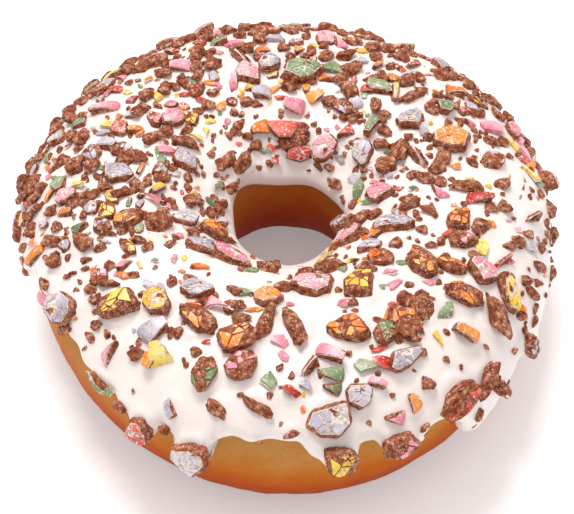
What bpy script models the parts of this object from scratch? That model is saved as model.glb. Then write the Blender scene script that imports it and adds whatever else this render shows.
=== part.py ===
"""A ring doughnut with thick poured icing. Two solids: the fried dough ring and
the shell of icing that lies over its top. Metres, +Z up, standing on its flat base.

The ring is slightly out of round, as dough that was proved on a tray is. Its
cross-section is made of four rounded quarters that meet at the widest point, at
the crown and at the waist of the hole. The icing follows the dough at a small
distance and ends in a wavy line with drips."""

import math

import bmesh
import bpy
import numpy as np

MM = 0.001

# ---- sizes of the ring, in millimetres -------------------------------------
OUTER_R = 45.0     # widest point of the dough
WIDEST_Z = 17.5    # its height
HEIGHT = 29.5      # crown of the dough
CROWN_R = 28.0     # radius of the crown's circle
HOLE_R = 9.8       # waist of the hole
HOLE_Z = 18.0      # its height
SINK = 0.8         # the round base is cut off this far up, which leaves a flat
ROUND = dict(outer_up=2.4, outer_low=2.2, inner_up=2.05, inner_low=2.1)
CENTRE_Y = 0.75    # moves the middle of the uneven ring's box onto the origin

# ---- sizes of the icing ----------------------------------------------------
GAP = 0.55         # between icing and dough, so that the solids stay apart
ICING = 1.9        # thickness of the layer
BEAD = 2.6         # width over which the edge is rounded

# Height of the outer edge of the icing round the ring: (degrees from +X, mm).
# Low values are drips, high values the arches between them.
EDGE = [
    (0, 14), (8, 16), (16, 13), (24, 15), (34, 12.5), (44, 15.5), (54, 14),
    (64, 16), (76, 13), (88, 15.5), (100, 14), (112, 16), (124, 13), (136, 15),
    (148, 13), (160, 15.5), (172, 13.5), (182, 15), (187, 17.5), (192, 20.3), (200, 22),
    (207, 22.6), (213, 23.2), (219, 22.8), (224, 21.4), (230, 22.4), (236, 20.8),
    (240, 19.4), (243, 20.2), (245, 22.4), (247.2, 22), (248.8, 18.8), (250.5, 17.4),
    (253.6, 17.2), (255, 19.2), (256.8, 23.4), (262, 24.2), (268, 24.4), (272, 24),
    (275.5, 22.4), (278, 19.2), (280.5, 17.4), (282.8, 19.2), (284.6, 23), (287, 23),
    (289, 21.4), (293, 19.5), (297, 20), (299, 21.4), (303.5, 21.4),
    (306, 18), (308, 14), (313, 12.5), (318, 13), (322, 17), (327, 18), (331, 15.5),
    (334, 12), (339, 13), (346, 15), (353, 12.5),
]
RIM_Z = 22.0       # height of the icing's edge inside the hole


def out_of_round(a):
    """Factor on the radius: an oval with three soft corners."""
    return (1 - 0.026 * math.cos(2 * a) - 0.007 * math.sin(2 * a)
            - 0.001 * math.cos(3 * a) + 0.0165 * math.sin(3 * a))


def section(t):
    """Point of the cross-section: t = 0 at the widest point, a quarter turn at the
    crown, half a turn at the waist of the hole, three quarters under the middle."""
    t = t % (2 * math.pi)
    if t <= math.pi / 2:
        r0, z0, z1, n, u = OUTER_R, WIDEST_Z, HEIGHT, ROUND["outer_up"], t
    elif t <= math.pi:
        r0, z0, z1, n, u = HOLE_R, HOLE_Z, HEIGHT, ROUND["inner_up"], math.pi - t
    elif t <= 1.5 * math.pi:
        r0, z0, z1, n, u = HOLE_R, HOLE_Z, -SINK, ROUND["inner_low"], t - math.pi
    else:
        r0, z0, z1, n, u = OUTER_R, WIDEST_Z, -SINK, ROUND["outer_low"], 2 * math.pi - t
    c = max(0.0, math.cos(u)) ** (2 / n)
    s = max(0.0, math.sin(u)) ** (2 / n)
    return CROWN_R + (r0 - CROWN_R) * c, z0 + (z1 - z0) * s


def turn_at(z, inside=False):
    """The t of the cross-section at height z, on the outside or in the hole."""
    if inside:
        u = (z - HOLE_Z) / (HEIGHT - HOLE_Z)
        return math.pi - math.asin(u ** (ROUND["inner_up"] / 2))
    if z >= WIDEST_Z:
        u = (z - WIDEST_Z) / (HEIGHT - WIDEST_Z)
        return math.asin(u ** (ROUND["outer_up"] / 2))
    u = (WIDEST_Z - z) / (WIDEST_Z + SINK)
    return -math.asin(u ** (ROUND["outer_low"] / 2))


def fine_section(t0, t1, steps=160):
    """The section from t0 to t1 with its outward normals and lengths along it."""
    p = np.array([section(t0 + (t1 - t0) * i / steps) for i in range(steps + 1)])
    d = np.gradient(p, axis=0)
    d /= np.linalg.norm(d, axis=1)[:, None] + 1e-12
    normal = np.stack([d[:, 1], -d[:, 0]], 1)
    run = np.concatenate([[0], np.cumsum(np.linalg.norm(np.diff(p, axis=0), axis=1))])
    return p, normal, run


def smooth_knots(a_deg, knots):
    """Closed curve through the knots, eased between them."""
    x = np.array([k[0] for k in knots], float)
    y = np.array([k[1] for k in knots], float)
    x = np.concatenate([x - 360, x, x + 360])
    y = np.tile(y, 3)
    i = int(np.searchsorted(x, a_deg, side="right")) - 1
    u = (a_deg - x[i]) / (x[i + 1] - x[i])
    return y[i] + (y[i + 1] - y[i]) * u * u * (3 - 2 * u)


def rim_height(a):
    return RIM_Z + 0.6 * math.sin(3 * a + 0.8) + 0.4 * math.sin(5 * a + 2.0)


def place(r, z, a):
    k = r * out_of_round(a)
    return (k * math.cos(a) * MM, (k * math.sin(a) + CENTRE_Y) * MM, max(0.0, z) * MM)


def node_from(name, rings, colour, roughness):
    """Closed tube: each ring is one closed loop of points, and the rings close too."""
    bm = bmesh.new()
    rows = [[bm.verts.new(p) for p in ring] for ring in rings]
    n, m = len(rows), len(rows[0])
    for i in range(n):
        for j in range(m):
            bm.faces.new((rows[i][j], rows[i][(j + 1) % m],
                          rows[(i + 1) % n][(j + 1) % m], rows[(i + 1) % n][j]))
    bmesh.ops.remove_doubles(bm, verts=bm.verts, dist=1e-6)
    bmesh.ops.recalc_face_normals(bm, faces=bm.faces)
    if bm.calc_volume(signed=True) < 0:
        bmesh.ops.reverse_faces(bm, faces=bm.faces)
    mesh = bpy.data.meshes.new(name)
    bm.to_mesh(mesh)
    bm.free()
    obj = bpy.data.objects.new(name, mesh)
    bpy.context.scene.collection.objects.link(obj)
    material = bpy.data.materials.new(name)
    material.use_nodes = True
    shader = next(n for n in material.node_tree.nodes if n.type == "BSDF_PRINCIPLED")
    shader.inputs["Base Color"].default_value = (*colour, 1)
    shader.inputs["Roughness"].default_value = roughness
    mesh.materials.append(material)
    return obj


def dough(columns=70, rows=24):
    rings = []
    p, _, run = fine_section(0.0, 2 * math.pi, 720)
    picks = [int(np.searchsorted(run, run[-1] * j / rows)) for j in range(rows)]
    for i in range(columns):
        a = 2 * math.pi * i / columns
        rings.append([place(p[j][0], p[j][1], a) for j in picks])
    return node_from("dough_ring", rings, (0.56, 0.27, 0.07), 0.6)


def icing(columns=132, under=13):
    """One closed loop per column: out along the top of the layer, back beneath it.
    The crown's stations stay at one place all round, and those near the edge move
    with it, close together where the edge is rounded."""
    crown = [turn_at(z) for z in (26.8, 28.5)] + [math.radians(90)]
    crown += [turn_at(z, inside=True) for z in (28.3, 25.5)]
    rings = []
    for i in range(columns):
        a = 2 * math.pi * i / columns
        t0 = turn_at(smooth_knots(math.degrees(a), EDGE))
        t1 = turn_at(rim_height(a), inside=True)
        p, normal, run = fine_section(t0, t1)
        length = run[-1]
        turns = np.linspace(t0, t1, len(run))
        fixed = [float(np.interp(t, turns, run)) for t in crown]
        floats = list(np.linspace(2.2, fixed[0], 4))[1:-1]
        tops = [0.0, 0.7, 2.2] + floats + fixed + [length - 0.7, length]
        loop = []
        for s in tops:
            near = min(s, length - s) / BEAD
            full = math.sqrt(max(0.0, 1 - (1 - min(1.0, near)) ** 2))
            k = int(np.argmin(abs(run - s)))
            q = p[k] + normal[k] * (GAP + ICING * full)
            loop.append(place(q[0], q[1], a))
        for s in np.linspace(length, 0.0, under + 2)[1:-1]:
            k = int(np.argmin(abs(run - s)))
            q = p[k] + normal[k] * GAP
            loop.append(place(q[0], q[1], a))
        rings.append(loop)
    return node_from("icing", rings, (0.93, 0.88, 0.87), 0.35)


for old in list(bpy.data.objects):
    bpy.data.objects.remove(old, do_unlink=True)
dough()
icing()
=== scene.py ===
# %% [markdown]
# # Ring doughnut with poured icing and crushed candies
#
# The real thing is a fried ring of dough, dipped face down in thick white sugar icing
# and then strewn with crushed candy-coated chocolates. This lesson builds it in that
# order: the dough, the candies and their places, the icing that wets them, the finish
# of every surface, and last a plain table with soft light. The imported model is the
# fixed frame: it says where the ring stands and how large it is.

# %% The frame
import math

import bpy
import numpy as np
from mathutils import Matrix, Vector, noise


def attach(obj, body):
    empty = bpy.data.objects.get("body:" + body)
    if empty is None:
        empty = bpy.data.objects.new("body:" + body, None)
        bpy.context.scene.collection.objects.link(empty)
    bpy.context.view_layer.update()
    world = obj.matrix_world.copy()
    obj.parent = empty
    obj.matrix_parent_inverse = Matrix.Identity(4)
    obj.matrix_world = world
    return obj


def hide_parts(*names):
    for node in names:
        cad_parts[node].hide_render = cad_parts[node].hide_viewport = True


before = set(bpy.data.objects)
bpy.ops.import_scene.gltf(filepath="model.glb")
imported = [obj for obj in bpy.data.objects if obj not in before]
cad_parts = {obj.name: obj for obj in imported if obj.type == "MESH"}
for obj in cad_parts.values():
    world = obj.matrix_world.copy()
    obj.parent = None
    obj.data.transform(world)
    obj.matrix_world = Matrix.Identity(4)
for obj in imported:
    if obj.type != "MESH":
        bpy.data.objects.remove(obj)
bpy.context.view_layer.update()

MM = 0.001
SEED = 11

# %% [markdown]
# ## The shape of the ring
#
# A doughnut is a tube bent into a ring. Its cross-section could be a circle, but dough
# slumps and puffs, so it is flatter on top and steeper inside the hole. Four rounded
# quarters with their own roundness give that. A place on the ring then needs only two
# numbers: the angle round the ring, and the turn over the tube, which is 0 degrees at
# the widest point outside, 90 on the crown and 180 at the waist of the hole.

# %% Section of the tube
OUTER_R, WIDEST_Z = 45.0, 17.5
CROWN_R, CROWN_Z = 28.0, 29.5
HOLE_R, HOLE_Z = 9.8, 18.0
SINK = 0.8
CENTRE_Y = 0.75

quarter_turns = np.linspace(-90.0, 270.0, 3601)


def section(turn):
    """Radius and height in mm of the dough's skin at a turn in degrees."""
    names = [turn < 0, turn <= 90, turn <= 180]
    u = np.radians(np.select(names, [-turn, turn, 180 - turn], turn - 180))
    power = np.select(names, [2 / 2.2, 2 / 2.4, 2 / 2.05], 2 / 2.1)
    r0 = np.where(turn <= 90, OUTER_R, HOLE_R)
    z0 = np.where(turn <= 90, WIDEST_Z, HOLE_Z)
    z1 = np.where((turn >= 0) & (turn <= 180), CROWN_Z, -SINK)
    across = np.clip(np.cos(u), 0, 1) ** power
    up = np.clip(np.sin(u), 0, 1) ** power
    return CROWN_R + (r0 - CROWN_R) * across, z0 + (z1 - z0) * up


skin_r, skin_z = section(quarter_turns)
skin_run = np.concatenate([[0], np.cumsum(np.hypot(np.diff(skin_r), np.diff(skin_z)))])
LOOP = skin_run[-1]
even_run = np.linspace(0, LOOP, 1201)
even_r = np.interp(even_run, skin_run, skin_r)
even_z = np.interp(even_run, skin_run, skin_z)
slope = np.hypot(np.gradient(even_r), np.gradient(even_z))
even_nr = np.gradient(even_z) / slope
even_nz = -np.gradient(even_r) / slope


def run_of(turn):
    """Length along the skin, in mm from under the tube, of a turn in degrees."""
    return np.interp(turn, quarter_turns, skin_run)


def run_at_height(z):
    """Length along the skin of a height in mm on the outside of the ring."""
    outside = (quarter_turns >= -90) & (quarter_turns <= 90)
    return np.interp(z, skin_z[outside], skin_run[outside])


def out_of_round(a):
    """The ring is a soft oval with three blunt corners."""
    return (1 - 0.026 * np.cos(2 * a) - 0.007 * np.sin(2 * a)
            - 0.001 * np.cos(3 * a) + 0.0165 * np.sin(3 * a))


def on_ring(a, run, proud):
    """Points in metres at angle a (radians), length run and height proud over the skin."""
    r = np.interp(run, even_run, even_r) + np.interp(run, even_run, even_nr) * proud
    z = np.interp(run, even_run, even_z) + np.interp(run, even_run, even_nz) * proud
    r = r * out_of_round(a)
    return np.stack([r * np.cos(a), r * np.sin(a) + CENTRE_Y, np.maximum(z, 0)], -1) * MM


def waves(points, size, seed, octaves=2):
    """Smooth noise of about -1 to 1 at points in mm, with bumps of this size."""
    return np.array([noise.fractal(Vector(p) / size + Vector((seed * 3.7, 0, 0)), 1.0, 2.0, octaves)
                     for p in points])


print("length round the tube in mm:", round(LOOP, 1))

# %% [markdown]
# ## The fried dough
#
# Dough rings swell in hot fat, so their skin is smooth with shallow blisters. A torus
# primitive has the right build of rings and columns. Its points are moved onto the
# section, evenly along it, and then pushed a little in and out. Sculpting would do the
# same by hand, but noise gives an even skin all round.

# %% Dough ring
def fresh_torus(name, columns, rows, splits=0):
    """A torus primitive with each point's angle round the ring and round the tube."""
    bpy.ops.object.select_all(action="DESELECT")
    bpy.ops.mesh.primitive_torus_add(major_segments=columns, minor_segments=rows,
                                     major_radius=CROWN_R * MM, minor_radius=14 * MM,
                                     generate_uvs=False)
    obj = bpy.context.object
    obj.name = obj.data.name = name
    if splits:
        bpy.ops.object.mode_set(mode="EDIT")
        bpy.ops.mesh.select_all(action="SELECT")
        bpy.ops.mesh.subdivide(number_cuts=splits)
        bpy.ops.object.mode_set(mode="OBJECT")
    points = read_points(obj) / MM
    a = np.arctan2(points[:, 1], points[:, 0])
    tube = np.degrees(np.arctan2(points[:, 2], np.hypot(points[:, 0], points[:, 1]) - CROWN_R))
    return obj, a, np.mod(tube + 1e-4, 360)


def read_points(obj):
    flat = np.empty(len(obj.data.vertices) * 3)
    obj.data.vertices.foreach_get("co", flat)
    return flat.reshape(-1, 3)


def write_points(obj, points):
    obj.data.vertices.foreach_set("co", np.ascontiguousarray(points).ravel())
    obj.data.update()
    obj.data.shade_smooth()


BLISTER, BLISTER_SIZE = 0.22, 7.0   # mm in and out, and mm across
DIMPLE, DIMPLE_SIZE = 0.07, 1.6
FLAT_UP_TO, FADES_OVER = 0.5, 4     # mm above the table where the unevenness starts

dough, a, tube = fresh_torus("fried_ring", 256, 120)
run = np.mod(tube + 90, 360) / 360 * LOOP
plain = on_ring(a, run, 0.0) / MM
lift = BLISTER * waves(plain, BLISTER_SIZE, 1) + DIMPLE * waves(plain, DIMPLE_SIZE, 2)
lift *= np.clip((plain[:, 2] - FLAT_UP_TO) / FADES_OVER, 0, 1)
write_points(dough, on_ring(a, run, lift))
print("dough triangles:", 2 * len(dough.data.polygons))

# %% [markdown]
# ## The edge of the icing
#
# Thick icing runs down the side and stops in a wavy line, with round arches where the
# dough stayed dry and drips between them. The line is a list of heights round the ring,
# eased from one to the next. On the far side, where nobody looks first, it wanders in
# the same way.

# %% Edge line
ICING_EDGE = [
    (0, 14), (8, 16), (16, 13), (24, 15), (34, 12.5), (44, 15.5), (54, 14),
    (64, 16), (76, 13), (88, 15.5), (100, 14), (112, 16), (124, 13), (136, 15),
    (148, 13), (160, 15.5), (172, 13.5), (182, 15), (187, 17.5), (192, 21), (200, 23),
    (207, 23.8), (213, 24.2), (219, 23.8), (224, 22.4), (230, 23.2), (236, 21.6),
    (240, 19.8), (243, 20.2), (245, 22.4), (247.2, 22), (248.8, 18.8), (250.5, 17.4),
    (253.6, 17.2), (255, 19.2), (256.8, 23.4), (262, 24.2), (268, 24.4), (272, 24),
    (275.5, 22.4), (278, 20.6), (281, 19.9), (283, 20.8), (284.6, 23), (287, 23),
    (289, 21.4), (293, 19.5), (297, 20), (299, 21.4), (303.5, 21.4),
    (306, 18), (308, 14), (313, 12.5), (318, 13), (322, 17), (327, 18), (331, 15.5),
    (334, 12), (339, 13), (346, 15), (353, 12.5),
]
RIM_Z = 22.0
GAP = 0.55
ICING = 1.9
PROUD = GAP + ICING


def edge_height(degrees):
    """Height in mm of the icing's outer edge, eased between the listed places."""
    x = np.array([k[0] for k in ICING_EDGE], float)
    y = np.tile([k[1] for k in ICING_EDGE], 3)
    x = np.concatenate([x - 360, x, x + 360])
    i = np.searchsorted(x, degrees, side="right") - 1
    u = (degrees - x[i]) / (x[i + 1] - x[i])
    wander = 0.25 * np.sin(np.radians(degrees * 31)) + 0.2 * np.sin(np.radians(degrees * 53 + 40))
    return y[i] + (y[i + 1] - y[i]) * u * u * (3 - 2 * u) + wander


angles_fine = np.linspace(-math.pi, 3 * math.pi, 2881)
edge_fine = run_at_height(edge_height(np.mod(np.degrees(angles_fine), 360)))


def edge_run(a):
    """Length along the skin of the icing's outer edge."""
    return np.interp(np.mod(a, 2 * math.pi), angles_fine, edge_fine)


def rim_run(a):
    """Length along the skin of the icing's edge inside the hole."""
    z = RIM_Z + 0.6 * np.sin(3 * a + 0.8) + 0.4 * np.sin(5 * a + 2.0)
    inside = (quarter_turns >= 90) & (quarter_turns <= 180)
    return np.interp(-z, -skin_z[inside], skin_run[inside])


# %% [markdown]
# ## Crushed candies
#
# Each candy is a lens of milk chocolate, about 13 mm across, with a thin white sugar
# layer and a coloured shell. Crushing them leaves plain chips of chocolate, flakes of
# shell, chunks with a cap of shell, and big lumps whose shell has cracked like a mosaic.
# So the pieces are made as they are in life: a lens is cut by planes. The faces of the
# cuts are broken chocolate, and what is left of the skin is the shell. The model pieces
# are a unit long. Each is made once and copied at its real size.

# %% Cutting tools
VOXEL = 0.085               # fineness of a broken face, for a candy of radius 1
SHELL_DETAIL = 0.35         # share of a shell's faces that is kept


def active_only(obj):
    bpy.ops.object.select_all(action="DESELECT")
    obj.select_set(True)
    bpy.context.view_layer.objects.active = obj


def lens(radius, flatness, fineness=4):
    """The skin of a whole candy: a ball pressed flat."""
    bpy.ops.object.select_all(action="DESELECT")
    bpy.ops.mesh.primitive_ico_sphere_add(subdivisions=fineness, radius=radius)
    obj = bpy.context.object
    active_only(obj)
    bpy.ops.object.mode_set(mode="EDIT")
    bpy.ops.mesh.select_all(action="SELECT")
    bpy.ops.transform.resize(value=(1, 1, flatness))
    bpy.ops.object.mode_set(mode="OBJECT")
    return obj


def cut(obj, planes, fill):
    """Cuts away what lies beyond each plane (a direction and a distance)."""
    active_only(obj)
    bpy.ops.object.mode_set(mode="EDIT")
    for direction, distance in planes:
        n = Vector(direction).normalized()
        bpy.ops.mesh.select_all(action="SELECT")
        bpy.ops.mesh.bisect(plane_co=n * distance, plane_no=n, use_fill=fill,
                            clear_outer=True, threshold=1e-5)
    bpy.ops.object.mode_set(mode="OBJECT")


def apply(obj, kind, **settings):
    """Adds one modifier and applies it."""
    active_only(obj)
    modifier = obj.modifiers.new(kind.title(), kind)
    for key, value in settings.items():
        setattr(modifier, key, value)
    bpy.ops.object.modifier_apply(modifier=modifier.name)


def broken(obj, seed, depth, faces):
    """Turns a clean cut solid into rough broken chocolate of about this many triangles."""
    apply(obj, "REMESH", mode="VOXEL", voxel_size=VOXEL)
    points = read_points(obj)
    normals = np.array([v.normal[:] for v in obj.data.vertices])
    rough = waves(points, 0.42, seed) + 0.6 * waves(points, 0.17, seed + 5, 1)
    write_points(obj, points + normals * (depth * rough)[:, None])
    triangles = sum(len(p.vertices) - 2 for p in obj.data.polygons)
    apply(obj, "DECIMATE", ratio=min(1.0, faces / triangles))
    apply(obj, "TRIANGULATE")


def take(obj):
    """The mesh as arrays, and the object is removed."""
    points = read_points(obj)
    faces = np.array([p.vertices[:] for p in obj.data.polygons if len(p.vertices) == 3], int)
    bpy.data.objects.remove(obj, do_unlink=True)
    return points, faces.reshape(-1, 3)


def seat(parts):
    """Moves and scales all the layers of one model so that it is a unit long and wide
    and stands on zero."""
    every = np.concatenate([p for layer in parts.values() for p, _ in layer])
    low, high = every.min(0), every.max(0)
    middle = (low + high) / 2
    middle[2] = low[2]
    scale = 1 / (high - low)
    scale[2] = 1 / math.sqrt((high - low)[0] * (high - low)[1])
    return {name: [((p - middle) * scale, f) for p, f in layer] for name, layer in parts.items()}


# %% Chips of plain chocolate
def chip(seed, faces):
    rng = np.random.default_rng(seed)
    obj = lens(1.0, 0.75, 3)
    planes = []
    for i in range(12):
        d = rng.normal(size=3) + np.array([0, 0, 0.2])
        planes.append((d, rng.uniform(0.38, 0.8)))
    cut(obj, planes, fill=True)
    broken(obj, seed, 0.075, faces)
    return seat({"chocolate": [take(obj)]})


chips = [chip(100 + i, 70) for i in range(8)]
nuggets = [chip(200 + i, 320) for i in range(8)]
print("chips:", len(chips), "nuggets:", len(nuggets))

# %% Flakes, chunks and lumps
CRACK = (0.015, 0.045)      # half the width of a crack in the shell, least and most
SHELL_ENDS = 0.04           # the shell ends this far above the broken face below
LEAST_FACES = 6             # a sliver of shell with fewer triangles is left out


def ring_of_planes(rng, count, near, far, lean, span):
    """Planes that stand round the middle and lean in or out, as a fragment's sides.
    A span under 360 degrees leaves some of the candy's own rim."""
    start = rng.uniform(0, 360)
    planes = []
    for i in range(count):
        angle = math.radians(start + span * (i + rng.uniform(-0.25, 0.25)) / count)
        tilt = rng.uniform(-lean, lean)
        planes.append(((math.cos(angle), math.sin(angle), tilt), rng.uniform(near, far)))
    return planes


def moved(planes, by):
    return [(d, distance - by) for d, distance in planes]


def skin_piece(planes, radius, flatness, thick):
    """A piece of candy skin inside the planes, with a wall that goes inwards."""
    obj = lens(radius, flatness)
    cut(obj, planes, fill=False)
    if not obj.data.polygons:
        bpy.data.objects.remove(obj, do_unlink=True)
        return None
    apply(obj, "SOLIDIFY", thickness=thick, offset=-1)
    apply(obj, "DECIMATE", ratio=SHELL_DETAIL)
    apply(obj, "TRIANGULATE")
    return take(obj)


def candy(seed, sides, near, far, lean, depth, cells, missing, brim, faces, white=True,
          flatness=0.55, colour_wall=0.05, white_wall=0.05, span=360):
    """A fragment of a candy. depth is how far below the middle it is broken off, cells
    is how many pieces its shell has cracked into, missing is the share of them that
    fell off, and brim is how far the chocolate reaches past the shell. A fragment with
    no faces for its chocolate is shell only."""
    rng = np.random.default_rng(seed)
    planes = ring_of_planes(rng, sides, near, far, lean, span)
    below = ((rng.uniform(-0.2, 0.2), rng.uniform(-0.2, 0.2), -1), depth)
    parts = {"chocolate": [], "white": [], "shell": []}
    if faces:
        core = lens(1 - colour_wall - white_wall * 0.6, flatness)
        cut(core, planes + [below], fill=True)
        broken(core, seed, 0.045, faces)
        parts["chocolate"].append(take(core))
    inner = moved(planes, brim)
    floor = [(below[0], depth - SHELL_ENDS)]
    if white:
        layer = skin_piece(inner + floor, 1 - colour_wall, flatness, white_wall)
        if layer:
            parts["white"].append(layer)
    reach = near - brim
    seeds = rng.uniform(-reach, reach, (cells, 2)) if cells > 1 else np.zeros((1, 2))
    for i in range(cells):
        if cells > 1 and rng.uniform() < missing:
            continue
        walls = []
        for j in range(cells):
            if j == i:
                continue
            toward = seeds[j] - seeds[i]
            gap = np.linalg.norm(toward)
            n = toward / gap
            middle = (seeds[i] + seeds[j]) / 2
            walls.append(((n[0], n[1], 0), float(n @ middle) - rng.uniform(*CRACK)))
        one = skin_piece(moved(inner, rng.uniform(0.01, 0.05)) + floor + walls,
                         1 + rng.uniform(-0.01, 0.015), flatness, colour_wall + 0.02)
        if one and len(one[1]) > LEAST_FACES:
            parts["shell"].append(one)
    return seat({k: v for k, v in parts.items() if v})


flakes = [candy(300 + i, 4 + i % 2, 0.22, 0.42, 0.5, -0.1, 1, 0, white=i % 2 == 0, brim=0.0,
                faces=0, flatness=0.7, colour_wall=0.13, white_wall=0.04) for i in range(8)]
chunks = [candy(400 + i, 3, 0.02, 0.3, 0.3, 0.12, 1, 0, brim=0.03, faces=260, colour_wall=0.07,
                span=230) for i in range(8)]
mosaics = [candy(500 + i, 7, 0.45, 0.66, 0.15, 0.05, 9, 0.08, brim=0.06, faces=900)
           for i in range(6)]
patchy = [candy(600 + i, 7, 0.45, 0.66, 0.2, 0.08, 12, 0.55, white=False, brim=0.04, faces=900)
          for i in range(6)]
print("flakes, chunks, mosaics, patchy:", len(flakes), len(chunks), len(mosaics), len(patchy))

# %% [markdown]
# ## Where the candies fell
#
# The larger pieces have listed places, because they give this doughnut its face: the
# angle round the ring, the turn over the tube, the length and width in mm, and the
# way the length lies, seen from above. Small crumbs are strewn between them at random,
# thick on the crown and over the back, and thin on the lower front, where the icing
# was left bare.

# %% Places of the larger pieces
CHIPS = [
    (139, 80, 3, 2.6, 20), (133, 84, 3, 2.6, 60), (145, 84, 4, 2.8, 20), (143, 50, 3, 2.4, 0),
    (150, 35, 3.5, 2.6, 160), (157, 38, 3, 3, 60), (161, 64, 3.6, 2.6, 40), (171, 66, 3.4, 3.2, 0),
    (153, 98, 5, 2.2, 25), (147, 112, 5, 2.4, 155), (103, 75, 5, 1.8, 0), (100, 45, 2.6, 3, 90),
    (89, 102, 2.4, 3, 80), (77, 80, 3, 2.8, 0), (69, 92, 3.2, 2.6, 40), (69, 108, 2.4, 3.2, 90),
    (60, 113, 1.7, 1.6, 0), (116, 112, 1.9, 1.6, 150), (115, 127, 2.4, 1.9, 150),
    (113, 134, 2.2, 2, 20), (125, 140, 3.4, 2.6, 60), (138, 134, 3.6, 3, 20),
    (133, 141, 2.4, 2.6, 90), (120, 97, 2.2, 2, 150), (62, 57, 3, 2.2, 0), (57, 60, 3.4, 3, 50),
    (50, 78, 3.4, 2.6, 10), (44, 84, 4.6, 2.2, 20), (36, 82, 3, 2.4, 140), (51, 100, 3.2, 2.2, 70),
    (45, 100, 2.1, 1.8, 20), (26, 88, 1.2, 1, 0), (10, 94, 3.2, 2.8, 0), (11, 78, 2.6, 1.6, 155),
    (19, 62, 3.2, 1.9, 165), (20, 117, 4, 3, 10), (33, 113, 1.8, 3.4, 80), (6, 101, 2.2, 4, 80),
    (174, 21, 1.9, 5, 75), (181, 40, 2.2, 1.8, 30), (184, 52, 2.5, 2.2, 0), (184, 66, 2.5, 1.7, 20),
    (185, 72, 2.2, 1.8, 0), (186, 80, 1.6, 1.3, 0), (179, 81, 2.6, 1.8, 140), (183, 90, 5, 1.8, 15),
    (177, 101, 1.8, 1.6, 20), (187, 112, 2.2, 1.6, 150), (185, 124, 3.4, 2.6, 20),
    (190, 53, 2.3, 2, 10), (187, 33, 1.6, 1.7, 0), (194, 56, 1.3, 1.9, 60), (188, 22, 1.8, 2.2, 80),
    (182, 12, 2.2, 3, 90), (199, 48, 3, 2.6, 0), (202, 74, 2.3, 2, 0), (204, 64, 2.2, 1.5, 165),
    (198, 80, 3.2, 1.5, 150), (205, 90, 3.2, 1.5, 5), (200, 102, 5, 3.4, 170), (194, 107, 2.4, 2, 30),
    (212, 104, 2.6, 1.8, 20), (210, 117, 2.4, 2, 150), (193, 17, 1.7, 1.6, 40), (202, 34, 2.9, 1.8, 125),
    (205, 50, .8, 1.6, 80), (205, 54, .8, 1.6, 80), (206, 62, 1.6, 1.1, 170), (210, 74, 2, 1.8, 20),
    (215, 69, 3.5, 1.7, 165), (216, 58, 2, 2, 0), (221, 49, 2, 1.8, 30), (218, 53, .9, 1, 0),
    (215, 27, 1.9, 3.6, 80), (234, 53, 2.7, 2.3, 20), (236, 72, 2.2, 2, 0), (240, 74, 2.1, 2, 0),
    (239, 71, 1, 1, 0), (142, 134, 3.4, 2.6, 20), (150, 147, 2.4, 2.4, 0), (172, 145, 2, 1.8, 0),
    (200, 142, 1, 2.6, 120), (258, 130, 4, 1.8, 155), (249, 105, 2.8, 1.6, 145), (243, 98, 1.5, 1.7, 60),
    (252, 96, 3.8, 2.6, 10), (256, 91, 3.3, 2, 0), (281, 126, 3.4, 1.8, 0), (289, 117, 3, 1.5, 160),
    (296, 124, 4.4, 3, 20), (292, 107, 1.3, 1.2, 0), (294, 96, 1.6, 1.5, 0), (342, 134, 4.8, 2.8, 20),
    (346, 126, 2.8, 2.2, 0), (355, 63, 2.8, 2.6, 130), (350, 44, 2.2, 1.4, 0), (346, 51, 2.8, 2.2, 150),
    (344, 54, 3.4, 1.8, 25), (344, 30, 1.5, 4.2, 105), (346, 74, 3.6, 3, 40), (348, 98, 3.3, 1.5, 140),
    (352, 108, 4.2, 2.2, 15), (328, 94, 3.4, 1.6, 145), (314, 89, 1.3, 1.6, 90), (338, 38, 2, 2.4, 110),
    (337, 30, 1.8, 4.4, 100), (330, 30, 1.8, 2.2, 90), (309, 85, 3.2, 2.8, 120), (303, 68, 2.2, 2.6, 100),
    (256, 45, 4.2, 2.1, 128), (264, 51, 6, 2.1, 138), (271, 37, 2.7, 1.3, 35), (256.5, 66, 1.3, 1.2, 0),
    (268.5, 72, 1.3, 1.2, 0), (286, 75, 1.1, 1, 0), (300.5, 44, 2.5, 2.2, 150), (292.5, 47, .9, .9, 0),
    (310, 5, 2.6, 2.2, 20), (255, 15, 1.4, 2.6, 110), (297, 22, 2, 1.4, 10), (246, 22, 1.5, 2, 60),
    (236, 21, 2.6, 1.7, 150), (303, 60, 1.6, 2, 90), (222, 34, .6, 1.3, 90), (316, 16, 2, 2, 40),
    (265, 31, 1.1, .7, 10), (247, 70, 2, 1.9, 0),
    (299, 109, 2, 1.6, 0), (307, 110, 3.6, 3, 20), (327, 107, 2.2, 2, 40), (330, 129, 2.4, 2, 0),
]
STICKS = [(263, 90, 8.2, 2.7, 68), (273, 90, 7.6, 2.8, 108), (324, 46, 8.4, 3.4, 128), (0, 83, 6, 2.3, 175),
          (313, 23, 7.2, 2.9, 98)]
BIG_CHIPS = [(311, 78, 5, 4, 60), (84, 135, 5.6, 2.8, 5), (130, 58, 4.6, 3.6, 10)]
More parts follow.
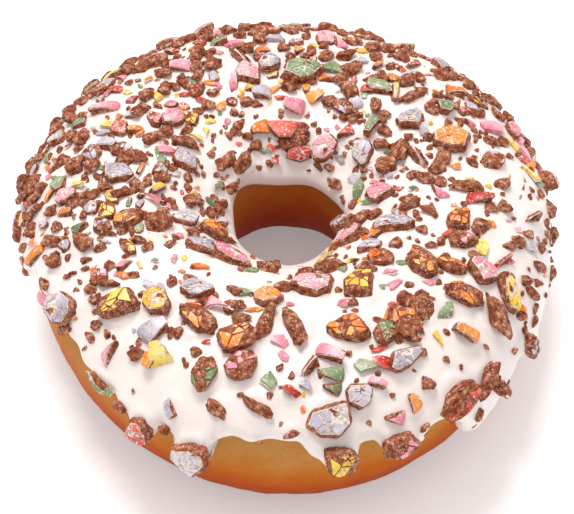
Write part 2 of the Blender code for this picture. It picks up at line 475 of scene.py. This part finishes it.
FLAKES = {
    "pink": [(205, 13, 2.8, 2.6, 100), (155, 107, 4.2, 2.9, 10), (247, 92, 4.6, 3.2, 130),
             (268, 84, 2.8, 2.2, 15), (143, 56, 2, 1.4, 40), (154, 25, 2.6, 2, 90), (105, 66, 4, 1.7, 10),
             (110, 72, 1.8, 1.3, 0), (116, 93, 1.8, 1.4, 150), (185, 103, 3.8, 2.3, 140),
             (208, 111, 1.7, 1.1, 120), (219, 100, 1.8, 1.4, 60), (24, 57, 3, 4.4, 80), (22, 35, 3, 2.2, 0),
             (8, 126, 2.6, 2, 20), (17, 35, 3.4, 2, 150), (313, 99, 2.2, 1.6, 150),
             (311, 93, 1.6, 2.6, 110), (319, 84, 2, 1, 0), (91, 100, 1.3, 2.2, 100),
             (61, 139, 1.4, 1.6, 60), (172, 46, 1.6, 1.2, 40)],
    "lilac": [(157, 74, 2.8, 1.5, 165), (94, 68, 4, 2.4, 30), (66, 78, 2.4, 2.2, 60),
              (196, 67, 1.3, 3, 95), (201, 78, .8, 2, 95), (274.5, 64, 2.6, 1.9, 150),
              (223, 84, 1.6, 2.6, 75), (226, 87, 1.6, 2.4, 45), (347, 40, 2.4, 2.2, 30),
              (51, 70, 3.6, 1.9, 0), (52, 24, 3, 2.6, 140), (198, 42, 1.2, .9, 150), 
              (167, 115, 2, 1.3, 20)],
    "orange": [(133, 70, 1.9, 1.4, 30), (119, 90, 2.5, 1.5, 10), (121, 106, 2, 1.6, 30),
               (96, 103, 1.6, 3.4, 100), (190, 33, 1.8, 3.2, 80), (208, 66, 1.5, 1.2, 20),
               (215, 78, 2.4, 1.4, 150), (229, 108, 3, 1.2, 10), (258, 98, .8, 2.8, 105),
               (10, 86, 1.7, 1.5, 0), (331, 32, 1.2, 4.4, 85), (214, 24, 2, 1.5, 20),
               (327, 126, 1.7, 1.6, 0),
               (300, 85, 1.5, 3.4, 140), (154, 90, 1.4, 1.6, 0), (169, 45, 2.2, 1.4, 150),
               (167, 48, 1.6, 1.2, 130), (273.5, 50, 1.1, 1.1, 60), (318, 142, 3.4, 2.2, 160),
               (312, 115, 1.6, 1.3, 0), (348, 70, 2.8, 2, 160), (110, 104, 1.4, 1, 20),
               (226, 99, .8, 1.4, 80)],
    "yellow": [(154, 74, 3.4, 1.9, 0), (140, 68, 1.8, 1.2, 160), (135, 114, 1.6, 1.8, 60),
               (129, 111, 1.4, 1.6, 60), (141, 113, 3, 1.7, 155), (82, 71, 1.5, 1.3, 0),
               (68, 67, 1.2, 2.4, 85), (178, 69, 2.6, 1.8, 150), (178, 126, 1.9, 2, 60),
               (339, 70, 3.1, 3.1, 40), (19, 45, 3.2, 1.4, 165), (10, 37, 5, 1.6, 165),
               (42, 70, 1.3, 1, 0), (206, 96, .9, .9, 0), (298, 136, 3.8, 1.6, 25), (307, 122, 1.4, 1.2, 0),
               (309, 60, 2.6, 1.6, 140), (328, 87, 1, 2.6, 110), (2, 71, 1.2, 1, 0), (197, 80, 1.6, 1, 0),
               (40, 26, 2, 1.6, 0)],
    "green": [(73, 88, 3.4, 3.2, 40), (161, 104, 3.6, 2, 130), (171, 82, 2.3, 1.8, 0),
              (266, 65, 3.2, 2.8, 70), (289, 67, 3.6, 2.3, 20), (252, 107, 2.6, 1.8, 20),
              (27, 112, .8, 2.6, 70), (2, 107, .8, 2, 120), (320, 99, 1.2, 2.9, 80), (0, 131, 1.4, 4, 80),
              (15, 137, 3.4, 2.6, 30), (250, 125, 2.2, 1.4, 30), (287, 122, 2.6, 1.3, 10),
              (299, 120, 2.2, 1.5, 150), (106, 138, 1.2, 2.4, 100), (160, 138, 2.2, 2, 20),
              (178, 137, 1.3, 2.6, 70), (147, 27, 2.2, 1.2, 10), (136, 70, 1, 1.2, 0),
              (216, 92, 1, 1.3, 130),
              (58, 96, 1.6, 1.4, 30), (232, 17, 2.2, 1.5, 150)],
    "red": [(129, 90, 2, 1.4, 30), (126, 97, 2.2, 1.2, 150), (163, 55, 1.4, 1, 20), (14, 40, 1.6, 1.4, 30),
            (101, 137, 1.7, 2, 80), (100, 145, 1.2, 2.4, 85), (54, 70, 1.4, 1, 20), (177, 28, 1, 2, 60),
            (215, 40, 1.9, 1.1, 20), (294, 72, 1.2, 2.9, 122), (339, 54, 1.2, 2.6, 115),
            (305, 87, 1.8, 1.3, 10), (355, 75, 2.6, 1, 175), (192, 42, 1.6, 1.5, 0), (3, 115, .9, 2.4, 95)],
}
CHUNKS = {
    "pink": [(123, 75, 3.8, 3.4, 30), (149, 66, 5.6, 2.4, 20), (75, 66, 3.6, 2.2, 150),
             (86, 113, 3.8, 3, 160), (212, 80, 1.9, 3, 100), (281, 76, 4.6, 2.3, 150),
             (290, 56, 2.6, 2.6, 120), (292, 34, 3.4, 2.8, 40),
             (228, 43, 4.6, 2.4, 60), (110, 35, 5, 2.6, 10), (358, 94, 3.6, 2, 150)],
    "lilac": [(101, 105, 3.4, 2.8, 10), (275.5, 72, 3, 3.4, 110), (317, 8, 3.6, 3.4, 60),
              (234, 68, 4.6, 4, 60), (212, 18, 2.4, 5, 75), (246.5, 37, 2.9, 2.6, 140)],
    "orange": [(105, 126, 4, 3.4, 50), (77, 106, 3, 2.2, 20), (153, 88, 2.8, 2.4, 40),
               (38, 62, 3.6, 2.4, 140),
               (61, 76, 2.4, 1.9, 20), (296, 38, 3.2, 2.6, 150), (238, 55, 2.6, 2.6, 60),
               (331, 121, 2.6, 2.2, 60), (315, 52, 4.4, 3.8, 130),
               (17, 102, 4.6, 2.8, 160)],
    "yellow": [(239, 60, 3.8, 3.8, 100), (180, 106, 3.6, 2.8, 20), (137, 45, 4.4, 2.8, 30)],
    "green": [(193, 66, 3, 2.6, 60), (281, 67, 3.6, 2.2, 170), (280.5, 59, 3, 2.6, 20),
              (45, 110, 4, 3.6, 30), (229, 23, 4.4, 2.6, 145),
              (34, 76, 3.2, 3.4, 70), (315, 69, 2.4, 3, 110)],
    "red": [(54, 120, 3.2, 2.8, 60), (271, 60, 2.4, 3, 100), (293, 64, 3, 2.8, 20), (338, 57, 2.2, 4, 110),
            (356, 42, 2.4, 3.4, 110), (356, 76, 4.6, 2, 0), (92.5, 128, 3.8, 6, 88)],
}
MOSAICS = {
    "pink": [(104, 92, 5, 3.8, 150), (281, 113, 6.6, 4.4, 175), (331, 66, 5.4, 4.4, 150),
             (62, 134, 5.4, 4, 60), (141, 98, 4.4, 4, 20), (24, 36, 4, 3.4, 60), (235, 124, 7.6, 2.8, 165),
             (325, 134, 5, 3.6, 20), (2, 124, 4.6, 3.4, 10)],
    "lilac": [(95.5, 88, 4.4, 4, 100), (278.5, 42, 7.2, 5.4, 15), (285.5, 53, 4.4, 4.2, 30),
              (298, 62, 6.2, 3.4, 35), (211, 38, 6.2, 5.2, 160), (237, 96, 5.6, 3.6, 170),
              (220, 117, 5.4, 2.8, 172), (338, 113, 7, 3, 172), (320, 119, 4.2, 2.4, 10),
              (37, 124, 5, 3.8, 80), (35, 94, 5, 4.2, 20), (174, 88, 5.2, 3.6, 0), (198, 118, 4.6, 3, 10),
              (50, 42, 4, 3.4, 130), (87, 70, 2.8, 1.8, 0), (158, 117, 5, 3.4, 150),
              (252.8, 14, 6.2, 5.2, 160)],
    "green": [(84, 92, 7.2, 5, 10), (55, 89, 5.2, 2.6, 160)],
    "yellow": [(230, 80, 5.2, 4.2, 140), (331, 47, 7, 3.2, 122)],
    "orange": [(20, 84, 5.6, 6.6, 100), (263, 106, 4.6, 4.2, 150)],
    "red": [(80, 140, 4.6, 3, 0), (241, 17, 4.8, 4.4, 60)],
}
PATCHY = {
    "orange": [(243, 84, 7, 4.2, 145), (257, 83, 6.4, 4.4, 20), (289, 86, 7, 4.8, 165), (346, 84, 5, 4, 40),
               (322, 67, 7.2, 3.6, 168), (303, 78, 6, 5, 150), (323, 90, 5.6, 4.4, 125),
               (195, 90, 5.4, 3.6, 20),
               (212, 130, 5.4, 3, 150), (317, 108, 4.6, 3.4, 150), (127, 60, 4.8, 3.6, 20),
               (328, 79, 4.8, 2.6, 155)],
    "yellow": [(222, 65, 6.8, 4, 22), (300, 102, 6.2, 5, 40), (206, 86, 4, 2, 130),
               (280, 21, 5.2, 4.4, 20)],
    "green": [(251, 61, 6, 4, 72), (297, 77, 4.2, 3.6, 60)],
    "pink": [(291.5, 20, 6.2, 3.8, 25), (259, 70, 5.2, 4.8, 20), (339, 80, 4.8, 3.2, 10),
             (11, 66, 4.6, 3.4, 20), (211, 66, 3.4, 2.6, 30)],
    "lilac": [(163, 86, 3.8, 3, 0), (166, 73, 3.6, 3, 60), (195, 78, 3.4, 3, 150), (329, 9, 2.6, 5.2, 78),
              (347, 148, 3, 5, 90)],
    "red": [(84, 128, 5.4, 3.4, 10), (305.5, 26, 7.6, 4.6, 62)],
}

# %% Placing tools
PLUMP = 1.04                # pieces are made this much larger than listed
ON_ICING = 0.2              # share of its width that a piece keeps clear of the icing's edge
FOOTPRINT = 0.42            # radius of a piece's footprint, as a share of its mean width
NUGGET_AREA = 5             # a chip over this many square mm gets a finer model
HANGING_TURN = 23           # a piece below this turn hangs on the edge and isn't sunk in
rng = np.random.default_rng(SEED)
BATCHES = {}


def seat_on(a, run, lie, lean, sink):
    """A place on the icing: where it is, and axes that lie along the ring's skin."""
    step = 0.01
    base = on_ring(a, run, PROUD - sink) / MM
    round_way = on_ring(a + step, run, PROUD) - on_ring(a - step, run, PROUD)
    over_way = on_ring(a, run + step, PROUD) - on_ring(a, run - step, PROUD)
    up = np.cross(over_way, round_way) * -1
    up /= np.linalg.norm(up)
    along = np.array([math.cos(math.radians(lie)), math.sin(math.radians(lie)), 0.0])
    along -= up * (along @ up)
    along /= np.linalg.norm(along)
    frame3 = Matrix(np.stack([along, np.cross(up, along), up], 1).tolist())
    tilt = Matrix.Rotation(lean[0], 3, "X") @ Matrix.Rotation(lean[1], 3, "Y")
    return base, np.array(frame3 @ tilt)


def stock(model, colour, place, axes, size):
    """Copies one model into the batches that become the finished pieces."""
    plain = "chocolate_chips" if len(model) == 1 else "chocolate_cores"
    for layer, meshes in model.items():
        name = {"chocolate": plain, "white": "sugar_layer", "shell": f"shell_{colour}"}[layer]
        for points, faces in meshes:
            BATCHES.setdefault(name, []).append(((points * size) @ axes.T + place, faces))


footprints = []


def drop(models, colour, angle, turn, long, wide, lie, tall=0.85, sink=0.2, lean=9):
    """Sets one piece down, sunk a little into the icing. A place past the icing's edge is
    moved up onto it."""
    model = models[int(rng.integers(len(models)))]
    long, wide = long * PLUMP, wide * PLUMP
    height = tall * math.sqrt(long * wide)
    stands = height * max(points[:, 2].max() for layer in model.values() for points, _ in layer)
    leaning = np.radians(rng.uniform(-lean, lean, 2))
    a = math.radians(angle)
    run = max(float(run_of(turn)), float(edge_run(a)) + ON_ICING * wide)
    place, axes = seat_on(a, run, lie, leaning, sink * stands)
    flip = 1 if rng.uniform() < 0.5 else -1
    stock(model, colour, place, axes @ np.diag([flip, flip, 1]), np.array([long, wide, height]))
    footprints.append((a, run, FOOTPRINT * math.sqrt(long * wide), stands))


for item in CHIPS:
    drop(nuggets if item[2] * item[3] > NUGGET_AREA else chips, None, *item)
for item in STICKS + BIG_CHIPS:
    drop(nuggets, None, *item, tall=0.75)
for models, table, tall in ((flakes, FLAKES, 1.0), (chunks, CHUNKS, 0.95),
                            (mosaics, MOSAICS, 0.95), (patchy, PATCHY, 0.95)):
    for colour, items in table.items():
        for item in items:
            drop(models, colour, *item, tall=tall, sink=0.0 if item[1] < HANGING_TURN else 0.18)
print("larger pieces:", len(footprints))

# %% [markdown]
# ## Small crumbs
# Crushing also makes dust and crumbs, which fall between the larger pieces. They are
# strewn with seeded random numbers: a place is tried, kept if the share of crumbs there
# allows it, and dropped if it would sit on another piece. The back of the ring, which
# the listed places leave empty, gets some larger pieces in the same way.

# %% Strewing
COLOURS = ["pink", "lilac", "orange", "yellow", "green", "red"]
FRONT, FRONT_WIDE = 272, 62     # middle and width in degrees of the thinly strewn front
LEFT, LEFT_WIDE = 205, 22       # the same for the bare patch low on the left
LOW_TURN, RIM_TURN = 52, 138    # turns where the lower side and the rim of the hole begin
CLEAR = 1.2                     # mm between a small piece and the icing's edge


def share(angle, turn):
    """How thickly the crumbs lie, from 0 to 1."""
    front = math.exp(-((((angle - FRONT + 180) % 360) - 180) / FRONT_WIDE) ** 2)
    low = 1 / (1 + math.exp((turn - LOW_TURN) / 6))
    rim = 1 / (1 + math.exp((RIM_TURN - turn) / 5))
    left = math.exp(-((angle - LEFT) / LEFT_WIDE) ** 2) * low
    return max(0.0, (1 - 0.66 * front) * (1 - 0.97 * front * low) * (1 - 0.75 * rim) - 0.45 * left)


def room(a, run, radius, spare):
    """Whether a piece of this radius fits clear of the pieces already there."""
    known = np.array(footprints)
    around = np.interp(run, even_run, even_r)
    turn_gap = np.abs((known[:, 0] - a + math.pi) % (2 * math.pi) - math.pi) * around
    return bool((np.hypot(turn_gap, known[:, 1] - run) > spare * (known[:, 2] + radius)).all())


def strew(tries, size_of, angle_range, turn_range, pick, spare):
    """Tries this many places, and sets a piece down on each that is free."""
    for _ in range(tries):
        angle, turn = rng.uniform(*angle_range) % 360, rng.uniform(*turn_range)
        long = size_of()
        wide = long * rng.uniform(0.6, 1)
        lie, odds = rng.uniform(0, 180), rng.uniform()
        a, run = math.radians(angle), float(run_of(turn))
        clear_of_edge = run - edge_run(a) > CLEAR + 0.4 * long
        if odds > share(angle, turn) or not clear_of_edge:
            continue
        if room(a, run, FOOTPRINT * math.sqrt(long * wide), spare):
            pick(angle, turn, long, wide, lie)


LARGE_MIX = [nuggets] * 4 + [chunks] * 2 + [mosaics, patchy]
PLAIN_SHARE = 0.74              # of the small crumbs


def large_pick(*place):
    models = LARGE_MIX[int(rng.integers(len(LARGE_MIX)))]
    drop(models, COLOURS[int(rng.integers(len(COLOURS)))], *place, tall=0.8)


def small_pick(*place):
    colour = COLOURS[int(rng.integers(len(COLOURS)))]
    models = chips if rng.uniform() < PLAIN_SHARE else flakes
    drop(models, colour, *place, tall=0.6, lean=25)


strew(900, lambda: rng.uniform(2.6, 5.5), (0, 180), (-40, 24), large_pick, 0.9)
strew(900, lambda: rng.uniform(1.8, 4.2), (20, 200), (20, 110), large_pick, 0.8)
print("pieces after the larger ones:", len(footprints))
strew(2600, lambda: 0.9 + rng.exponential(0.6), (0, 360), (-30, 150), small_pick, 0.75)
print("pieces in all:", len(footprints))

# %% One mesh for each kind
SHARP_OVER = 32     # degrees; a fold sharper than this shows as an edge


def one_mesh(name, batch):
    """Joins the copies of a kind into one closed-shell mesh at the origin."""
    count = 0
    points, faces = [], []
    for p, f in batch:
        points.append(p)
        faces.append(f + count)
        count += len(p)
    points, faces = np.concatenate(points) * MM, np.concatenate(faces)
    mesh = bpy.data.meshes.new(name)
    mesh.vertices.add(len(points))
    mesh.vertices.foreach_set("co", points.ravel())
    mesh.loops.add(faces.size)
    mesh.loops.foreach_set("vertex_index", faces.ravel().astype(np.int32))
    mesh.polygons.add(len(faces))
    mesh.polygons.foreach_set("loop_start", np.arange(0, faces.size, 3, dtype=np.int32))
    mesh.update(calc_edges=True)
    mesh.validate()
    obj = bpy.data.objects.new(name, mesh)
    bpy.context.scene.collection.objects.link(obj)
    active_only(obj)
    bpy.ops.object.shade_smooth_by_angle(angle=math.radians(SHARP_OVER))
    return obj


pieces = {name: one_mesh(name, batch) for name, batch in sorted(BATCHES.items())}
for name, obj in pieces.items():
    print(name, len(obj.data.polygons), "triangles")

# %% [markdown]
# ## The icing
#
# Poured icing is a skin of even thickness that ends in a fat rounded lip, swells where
# a drip stopped, and climbs a little up whatever lies in it. It starts as another torus:
# most of its rows run over the top from the outer edge to the rim of the hole, and the
# rest come back underneath. The lip follows the distance to the edge line, measured
# over the skin, so the sides of a drip are as round as its tip. The columns are spread
# evenly along the edge line, so that the steep sides of a drip get as many as the rest.

# %% Icing
LIP = 1.9                       # mm over which the lip rounds off
RIM_LIP = 2.4                   # the same at the rim of the hole
EDGE_R = 44.5                   # mean radius of the edge line
BEAD, BEAD_AT, BEAD_WIDE = 0.22, 2.1, 1.2   # mm of swelling just inside the lip
CLIMB, MOST_CLIMB = 0.2, 0.55    # rise round a piece, as a share of its height, and in mm
CLIMB_REACH, CLIMB_ENDS = 0.75, 2.2
BEDDED = 0.15                   # mm that the underside lies under the dough's skin
OVER_SHARE = 0.87               # of the rows, over the top
GATHER = 0.82                   # how far the rows gather at both edges
EDGE_STEPS = 1440
DRIPS = [(252, 19.5, 2.6, 0.55), (280.5, 20.5, 2.4, 0.5), (334, 15, 2.6, 0.6), (311, 16, 3.4, 0.3),
         (241, 21, 2.6, 0.3), (293, 21, 2.8, 0.35), (228, 22, 3, 0.2)]

icing, a, tube = fresh_torus("poured_icing", 256, 85, splits=1)
edge_a = np.linspace(0, 2 * math.pi, EDGE_STEPS + 1)
edge_s = edge_run(edge_a)
steps = np.hypot(np.diff(edge_a) * OUTER_R, np.diff(edge_s))
edge_length = np.concatenate([[0], np.cumsum(steps)])
a = np.interp(np.mod(a, 2 * math.pi) / (2 * math.pi) * edge_length[-1], edge_length, edge_a)
way = tube / 360
over = way < OVER_SHARE
start, stop = edge_run(a), rim_run(a)
u = np.clip(way / OVER_SHARE, 0, 1)
back = np.clip((way - OVER_SHARE) / (1 - OVER_SHARE), 0, 1)
u = u - GATHER * np.sin(2 * math.pi * u) / (2 * math.pi)
run = np.where(over, start + (stop - start) * u, stop + (start - stop) * back)

nearest = np.minimum(np.abs(run - start), 30.0)
first = np.round(a / (2 * math.pi) * EDGE_STEPS).astype(int)
for k in range(-56, 57):
    i = (first + k) % EDGE_STEPS
    sideways = (a - edge_a[i] + math.pi) % (2 * math.pi) - math.pi
    nearest = np.minimum(nearest, np.hypot(sideways * EDGE_R, run - edge_s[i]))
nearest = np.where(over, nearest, 0.0)
rim_gap = np.where(over, np.abs(stop - run), 0.0)


def rounded(gap, width):
    """0 at the edge to 1 at this width, as a quarter circle."""
    return np.sqrt(np.maximum(0, 1 - (1 - np.minimum(1, gap / width)) ** 2))


thick = ICING * rounded(nearest, LIP) * rounded(rim_gap, RIM_LIP)
thick += BEAD * np.exp(-((nearest - BEAD_AT) / BEAD_WIDE) ** 2) * over
for degrees, height, width, swell in DRIPS:
    sideways = (a - math.radians(degrees) + math.pi) % (2 * math.pi) - math.pi
    away = np.hypot(sideways * EDGE_R, run - run_at_height(height)) / width
    thick += swell * np.exp(-away ** 2) * rounded(nearest, LIP)
level = on_ring(a, run, PROUD) / MM
soft = 0.2 * waves(level, 11.0, 3, 1) + 0.06 * waves(level, 3.4, 4, 1)
thick += soft * rounded(nearest, 3.0) * rounded(rim_gap, 3.0)
around = np.interp(run, even_run, even_r)
climb = np.zeros(len(a))
for piece_a, piece_run, radius, height in footprints:
    sideways = ((a - piece_a + math.pi) % (2 * math.pi) - math.pi) * around
    gap = np.hypot(sideways, run - piece_run) - radius
    near = gap < CLIMB_ENDS
    rise = CLIMB * height * np.exp(-(np.maximum(gap[near], 0) / CLIMB_REACH) ** 2)
    climb[near] = np.maximum(climb[near], rise)
thick += np.minimum(climb, MOST_CLIMB) * rounded(nearest, LIP) * over
proud = np.where(over, GAP * rounded(nearest, 0.5) - BEDDED + thick, -BEDDED)
write_points(icing, on_ring(a, run, proud))
print("icing triangles:", 2 * len(icing.data.polygons))

# %% [markdown]
# ## Finishes
#
# Every finish starts from what the real surface is. Colours are given as they look and
# turned to linear light by one function. Patterns read the object's own coordinates, so
# their scales are real sizes: one over the size in metres.

# %% Material tools
def linear(hex_colour):
    """An sRGB hex colour as linear RGBA."""
    parts = [int(hex_colour[i:i + 2], 16) / 255 for i in (1, 3, 5)]
    return [c / 12.92 if c <= 0.04045 else ((c + 0.055) / 1.055) ** 2.4 for c in parts] + [1.0]


def add(tree, kind, inputs=None, **settings):
    """Adds a node with its settings; an input is a value or another node's output."""
    made = tree.nodes.new(kind)
    for key, value in settings.items():
        setattr(made, key, value)
    for key, value in (inputs or {}).items():
        if isinstance(value, bpy.types.NodeSocket):
            tree.links.new(value, made.inputs[key])
        else:
            made.inputs[key].default_value = value
    return made


def new_finish(name, roughness, ior, **sockets):
    material = bpy.data.materials.new(name)
    material.use_nodes = True
    tree = material.node_tree
    shader = tree.nodes["Principled BSDF"]
    shader.inputs["Roughness"].default_value = roughness
    shader.inputs["IOR"].default_value = ior
    for key, value in sockets.items():
        shader.inputs[key.replace("_", " ")].default_value = value
    where = add(tree, "ShaderNodeTexCoord").outputs["Object"]
    return material, tree, shader, where


def ramp(tree, factor, stops):
    """A colour ramp through (place, hex colour) stops."""
    made = add(tree, "ShaderNodeValToRGB", {"Fac": factor})
    elements = made.color_ramp.elements
    while len(elements) < len(stops):
        elements.new(0.5)
    for element, (place, colour) in zip(elements, stops):
        element.position = place
        element.color = linear(colour)
    return made.outputs["Color"]


def grain(tree, where, size_mm, detail=2.0, roughness=0.5):
    """Soft noise whose bumps are about this many mm wide."""
    return add(tree, "ShaderNodeTexNoise", {"Vector": where, "Scale": 1 / (size_mm * MM),
                                           "Detail": detail, "Roughness": roughness}).outputs["Fac"]


def blend(tree, factor, below, above, kind="MIX"):
    made = add(tree, "ShaderNodeMix", data_type="RGBA", blend_type=kind)
    for socket, value in zip((made.inputs[0], made.inputs[6], made.inputs[7]), (factor, below, above)):
        if isinstance(value, bpy.types.NodeSocket):
            tree.links.new(value, socket)
        else:
            socket.default_value = linear(value) if isinstance(value, str) else value
    return made.outputs[2]


def window(tree, value, low, high):
    """0 below low, 1 above high, straight between."""
    return add(tree, "ShaderNodeMapRange", {"Value": value, "From Min": low, "From Max": high}).outputs[0]


def bump(tree, shader, height, depth_mm, strength=1.0):
    made = add(tree, "ShaderNodeBump", {"Height": height, "Distance": depth_mm * MM, "Strength": strength})
    tree.links.new(made.outputs["Normal"], shader.inputs["Normal"])


def dress(obj, material):
    obj.data.materials.clear()
    obj.data.materials.append(material)


# %% [markdown]
# ### Fried dough
#
# The dough is pale on the belt that floats on the fat, and a ramp over the height
# darkens it to a deep brown towards the table, with noise to break up its line. The wall
# of the hole is darker still: that is painted shade, standing in for the shade deep in
# the hole. The skin is dry and finely pitted.

# %% Fried dough
dough_finish, tree, shader, where = new_finish("fried_dough_crust", 0.62, 1.45, Specular_IOR_Level=0.1)
height = add(tree, "ShaderNodeSeparateXYZ", {"Vector": where}).outputs["Z"]
blotch = grain(tree, where, 6.0, 3.0)
shift = add(tree, "ShaderNodeMath", {0: blotch, 1: 0.5}, operation="SUBTRACT").outputs[0]
shifted = add(tree, "ShaderNodeMath", {0: shift, 1: 0.006, 2: height}, operation="MULTIPLY_ADD").outputs[0]
browning = ramp(tree, window(tree, shifted, 0.0, 0.028), [
    (0.0, "#5E1E00"), (0.2, "#8C2E00"), (0.42, "#AA4200"), (0.56, "#BA5E08"), (0.68, "#BE7830"),
    (0.82, "#C48C4C")])
pits = grain(tree, where, 0.5, 4.0, 0.65)
mottled = blend(tree, window(tree, pits, 0.45, 0.75), browning, "#944600")
soft_mottle = blend(tree, 0.28, browning, mottled)
# Painted shade: nearer the axis than 19 mm the colour is multiplied darker, standing in for the shade
# inside the hole.
level = add(tree, "ShaderNodeVectorMath", {0: where, 1: (1, 1, 0)}, operation="MULTIPLY").outputs[0]
radius = add(tree, "ShaderNodeVectorMath", {0: level}, operation="LENGTH").outputs["Value"]
colour_with_painted_hole_shade = blend(tree, window(tree, radius, 0.019, 0.011), soft_mottle, "#F4CCB0", "MULTIPLY")
tree.links.new(colour_with_painted_hole_shade, shader.inputs["Base Color"])
bump(tree, shader, pits, 0.12, 0.5)
dress(dough, dough_finish)

# %% [markdown]
# ### Sugar icing
#
# Set icing is sugar paste: nearly white, with a soft gloss on its skin and no grain to
# see. A trace of noise keeps its highlights from looking like plastic.

# %% Sugar icing
icing_finish, tree, shader, where = new_finish("poured_sugar_icing", 0.34, 1.49, Subsurface_Weight=0.12,
                                               Subsurface_Scale=0.0015)
tone = grain(tree, where, 9.0, 2.0)
tree.links.new(ramp(tree, tone, [(0.3, "#F1E5E1"), (0.7, "#F7ECE8")]), shader.inputs["Base Color"])
bump(tree, shader, grain(tree, where, 1.2, 2.0), 0.03, 0.4)
dress(icing, icing_finish)

# %% [markdown]
# ### Milk chocolate and candy shells
#
# Broken milk chocolate is a grainy red-brown, with pale crumbs of sugar stuck to it.
# The shells are coloured sugar, smooth and slightly glossy, over a white layer. The
# speckle is drawn a little coarser than real sugar dust, so that it shows.

# %% Chocolate
chocolate_finish, tree, shader, where = new_finish("broken_milk_chocolate", 0.6, 1.46,
                                                   Specular_IOR_Level=0.35)
body = ramp(tree, grain(tree, where, 0.9, 5.0, 0.62), [
    (0.34, "#5A2410"), (0.46, "#92482A"), (0.56, "#AE6844"), (0.68, "#DDB49C")])
specks = add(tree, "ShaderNodeTexVoronoi", {"Vector": where, "Scale": 1 / (0.42 * MM)}).outputs["Distance"]
dusted = window(tree, grain(tree, where, 2.6, 2.0), 0.42, 0.6)
speck_mask = add(tree, "ShaderNodeMath", {0: window(tree, specks, 0.38, 0.2), 1: dusted},
                 operation="MULTIPLY").outputs[0]
sugared = blend(tree, speck_mask, body, "#DDBBAA")
tree.links.new(sugared, shader.inputs["Base Color"])
bump(tree, shader, grain(tree, where, 0.5, 4.0, 0.65), 0.35, 1.0)
dress(pieces["chocolate_chips"], chocolate_finish)
dress(pieces["chocolate_cores"], chocolate_finish)

# %% Sugar layer and shells
white_finish, tree, shader, where = new_finish("white_sugar_layer", 0.6, 1.49)
crumbly = ramp(tree, grain(tree, where, 0.6, 3.0), [(0.4, "#C9A796"), (0.56, "#EEE2DB")])
tree.links.new(crumbly, shader.inputs["Base Color"])
bump(tree, shader, grain(tree, where, 0.3, 3.0), 0.1, 0.7)
dress(pieces["sugar_layer"], white_finish)

SHELLS = {
    "pink": ("#E8798F", "#F595AB", "#FBB9C8"),
    "lilac": ("#A9A2B4", "#C3BCCB", "#DCD7E0"),
    "orange": ("#EE6A08", "#F98A1A", "#FBA94A"),
    "yellow": ("#EDB52A", "#F8D64C", "#FBE588"),
    "green": ("#5A774A", "#7A9666", "#9EB08A"),
    "red": ("#B3150C", "#D63424", "#EE6A58"),
}
for colour, (deep, plain_tone, pale) in SHELLS.items():
    shell_finish, tree, shader, where = new_finish("candy_shell_" + colour, 0.36, 1.5)
    base = ramp(tree, grain(tree, where, 5.0, 1.0), [(0.32, deep), (0.5, plain_tone), (0.68, pale)])
    chipped = blend(tree, window(tree, grain(tree, where, 0.45, 3.0), 0.58, 0.66), base, "#EADAD0")
    dust = window(tree, grain(tree, where, 0.8, 4.0, 0.7), 0.52, 0.74)
    chipped = blend(tree, dust, chipped, "#9A6248")
    tree.links.new(chipped, shader.inputs["Base Color"])
    bump(tree, shader, grain(tree, where, 0.5, 2.0), 0.05, 0.5)
    dress(pieces["shell_" + colour], shell_finish)

# %% [markdown]
# ## Table, light and camera
#
# A pale table, a white sky and two large soft lamps give the bright, almost shadowless
# look of a product on white. The key lamp stands high and a little behind the ring, so
# the top is brightest and the front of the icing turns a soft grey. The table glows
# faintly, as lit paper does, which lifts the shadows. The camera looks down at the front.

# %% Table and light
bpy.ops.object.select_all(action="DESELECT")
bpy.ops.mesh.primitive_plane_add(size=4.0, location=(0, 0, -0.00002))
table = bpy.context.object
table.name = "table_top"
table_finish, tree, shader, where = new_finish("pale_table", 0.8, 1.4)
tree.links.new(ramp(tree, grain(tree, where, 90.0), [(0.3, "#FBFBFB"), (0.7, "#FEFEFE")]),
               shader.inputs["Base Color"])
shader.inputs["Emission Color"].default_value = linear("#FFFFFF")
shader.inputs["Emission Strength"].default_value = 0.25
dress(table, table_finish)

world = bpy.data.worlds.new("white_sky")
bpy.context.scene.world = world
world.use_nodes = True
world.node_tree.nodes["Background"].inputs["Color"].default_value = (1, 1, 1, 1)
world.node_tree.nodes["Background"].inputs["Strength"].default_value = 0.66
bpy.context.scene.view_settings.view_transform = "Standard"


def lamp(name, place, aim, size, watts, colour):
    bpy.ops.object.select_all(action="DESELECT")
    bpy.ops.object.light_add(type="AREA", location=place)
    made = bpy.context.object
    made.name = name
    made.data.shape = "DISK"
    made.data.size = size
    made.data.energy = watts
    made.data.color = linear(colour)[:3]
    made.rotation_euler = (Vector(aim) - Vector(place)).to_track_quat("-Z", "Y").to_euler()


centre = (0, CENTRE_Y * MM, 14.75 * MM)
lamp("key_lamp", (-0.1, 0.24, 0.72), centre, 0.34, 4.3, "#FFFDF8")
lamp("fill_lamp", (0.25, -0.75, 0.45), centre, 0.6, 0.3, "#FFFAF6")

# %% Camera
ELEVATION, DISTANCE = math.radians(51.0), 0.300
view = Vector((0, -math.cos(ELEVATION), math.sin(ELEVATION)))
bpy.ops.object.camera_add(location=Vector(centre) + view * DISTANCE)
camera = bpy.context.object
camera.name = "front_camera"
camera.rotation_euler = (-view).to_track_quat("-Z", "Y").to_euler()
camera.data.lens = 106.6
camera.data.sensor_width = 36
camera.data.shift_x = 0.0014
camera.data.shift_y = -0.0053
camera.data.clip_start = 0.01
bpy.context.scene.camera = camera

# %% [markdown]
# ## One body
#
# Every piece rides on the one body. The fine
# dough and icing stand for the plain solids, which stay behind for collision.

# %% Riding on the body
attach(dough, "root")
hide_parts("dough_ring")
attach(icing, "root")
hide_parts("icing")
for name, obj in pieces.items():
    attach(obj, "root")
